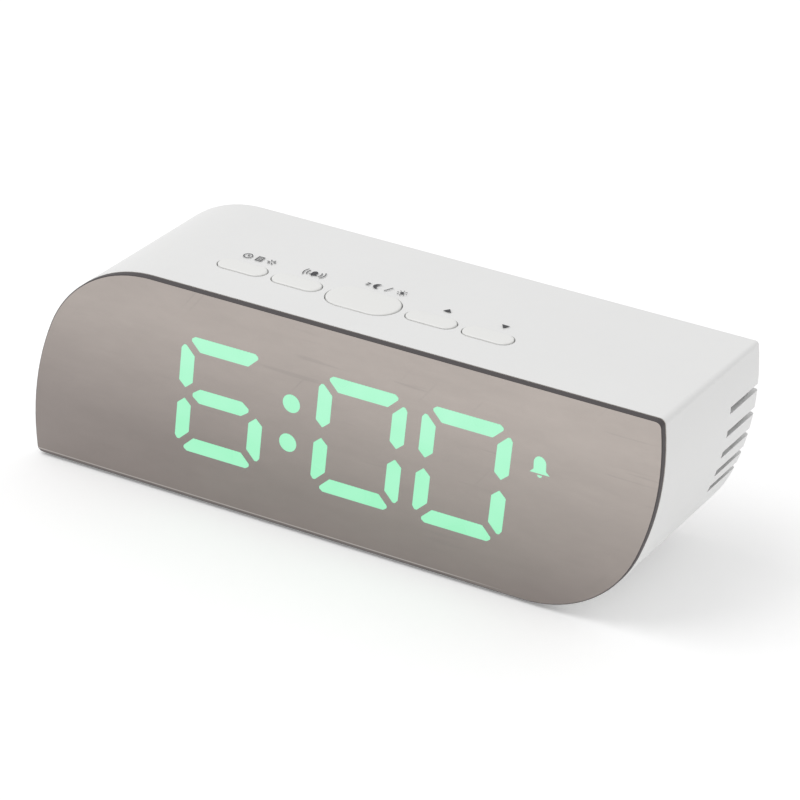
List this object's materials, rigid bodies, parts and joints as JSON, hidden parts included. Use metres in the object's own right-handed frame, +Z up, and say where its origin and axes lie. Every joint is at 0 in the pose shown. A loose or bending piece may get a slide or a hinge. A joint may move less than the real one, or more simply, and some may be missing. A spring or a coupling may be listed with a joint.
{
  "type": "alarm clock",
  "caption": "Mirror-front digital alarm clock: white moulded sleeve, half-silvered panel with lit digits, keys on top and a battery bay behind.",
  "frame": {"origin": "middle of the footprint, on the surface that the clock stands on", "axes": "+X to the right seen from the front, +Y from the mirror panel to the back, +Z up"},
  "size_m": [0.17, 0.05, 0.0562],
  "materials": {
    "clear_acrylic": "clear polished acrylic",
    "mirror_film": "half-silvered, warm grey",
    "gasket_foam": "black adhesive gasket",
    "case_white": "satin white ABS",
    "cover_white": "fine moulded texture, white ABS",
    "key_white": "satin warm white ABS",
    "cell_label": "printed sleeve, plain",
    "contact_steel": "nickel plated",
    "switch_black": "moulded",
    "plunger_plastic": "moulded",
    "circuit_board": "solder mask",
    "lit_green": "clear resin, lit green",
    "reflector_plastic": "white reflector",
    "light_chip": "resin",
    "tinted_film": "dark tint",
    "chip_resin": "moulded resin",
    "tin_plate": "tin plated",
    "connector_plastic": "nylon",
    "capacitor_sleeve": "shrink sleeve",
    "buzzer_plastic": "moulded",
    "wire_sleeve": "vinyl",
    "screw_steel": "zinc plated",
    "foot_rubber": "soft rubber"
  },
  "bodies": {
    "case": {"alarm_mark_light_pipe": "lit_green", "alarm_switch": "switch_black", "battery_wires": "wire_sleeve", "board_screws": "screw_steel", "buzzer": "buzzer_plastic", "capacitors": "capacitor_sleeve", "cell_1": "cell_label", "cell_2": "cell_label", "cell_3": "cell_label", "colon_light_pipes": "lit_green", "contact_plates": "contact_steel", "contact_springs": "contact_steel", "controller": "chip_resin", "cover_screws": "screw_steel", "crystal": "tin_plate", "display_block": "reflector_plastic", "display_driver": "chip_resin", "display_film": "tinted_film", "down_switch": "switch_black", "foot_1": "foot_rubber", "foot_2": "foot_rubber", "foot_3": "foot_rubber", "foot_4": "foot_rubber", "front_panel": "clear_acrylic", "hour_light_pipes": "lit_green", "housing": "case_white", "key_board": "circuit_board", "leading_one_light_pipes": "lit_green", "light_chips": "light_chip", "main_board": "circuit_board", "minute_ones_light_pipes": "lit_green", "minute_tens_light_pipes": "lit_green", "mirror_coat": "mirror_film", "mode_switch": "switch_black", "panel_gasket": "gasket_foam", "power_board": "circuit_board", "power_socket": "tin_plate", "rear_cover": "cover_white", "ribbon_cable": "wire_sleeve", "ribbon_connector": "connector_plastic", "snooze_switch": "switch_black", "socket_tongue": "connector_plastic", "supply_connector": "connector_plastic", "supply_wires": "wire_sleeve", "up_switch": "switch_black"},
    "battery_door": {"battery_door": "cover_white"},
    "mode_key": {"mode_key": "key_white", "mode_plunger": "plunger_plastic"},
    "alarm_key": {"alarm_key": "key_white", "alarm_plunger": "plunger_plastic"},
    "snooze_key": {"snooze_key": "key_white", "snooze_plunger": "plunger_plastic"},
    "up_key": {"up_key": "key_white", "up_plunger": "plunger_plastic"},
    "down_key": {"down_key": "key_white", "down_plunger": "plunger_plastic"}
  },
  "joints": [
    {"name": "mode_press", "type": "slide", "parent": "case", "child": "mode_key", "axis": [0, 0, -1], "range_m": [0, 0.0005], "stiffness_N_per_m": 300},
    {"name": "alarm_press", "type": "slide", "parent": "case", "child": "alarm_key", "axis": [0, 0, -1], "range_m": [0, 0.0005], "stiffness_N_per_m": 300},
    {"name": "snooze_press", "type": "slide", "parent": "case", "child": "snooze_key", "axis": [0, 0, -1], "range_m": [0, 0.0005], "stiffness_N_per_m": 300},
    {"name": "up_press", "type": "slide", "parent": "case", "child": "up_key", "axis": [0, 0, -1], "range_m": [0, 0.0005], "stiffness_N_per_m": 300},
    {"name": "down_press", "type": "slide", "parent": "case", "child": "down_key", "axis": [0, 0, -1], "range_m": [0, 0.0005], "stiffness_N_per_m": 300},
    {"name": "battery_door_hinge", "type": "hinge", "parent": "case", "child": "battery_door", "pos_m": [-0.012, 0.0242, 0.04675], "axis": [1, 0, 0], "range_deg": [0, 60]}
  ]
}
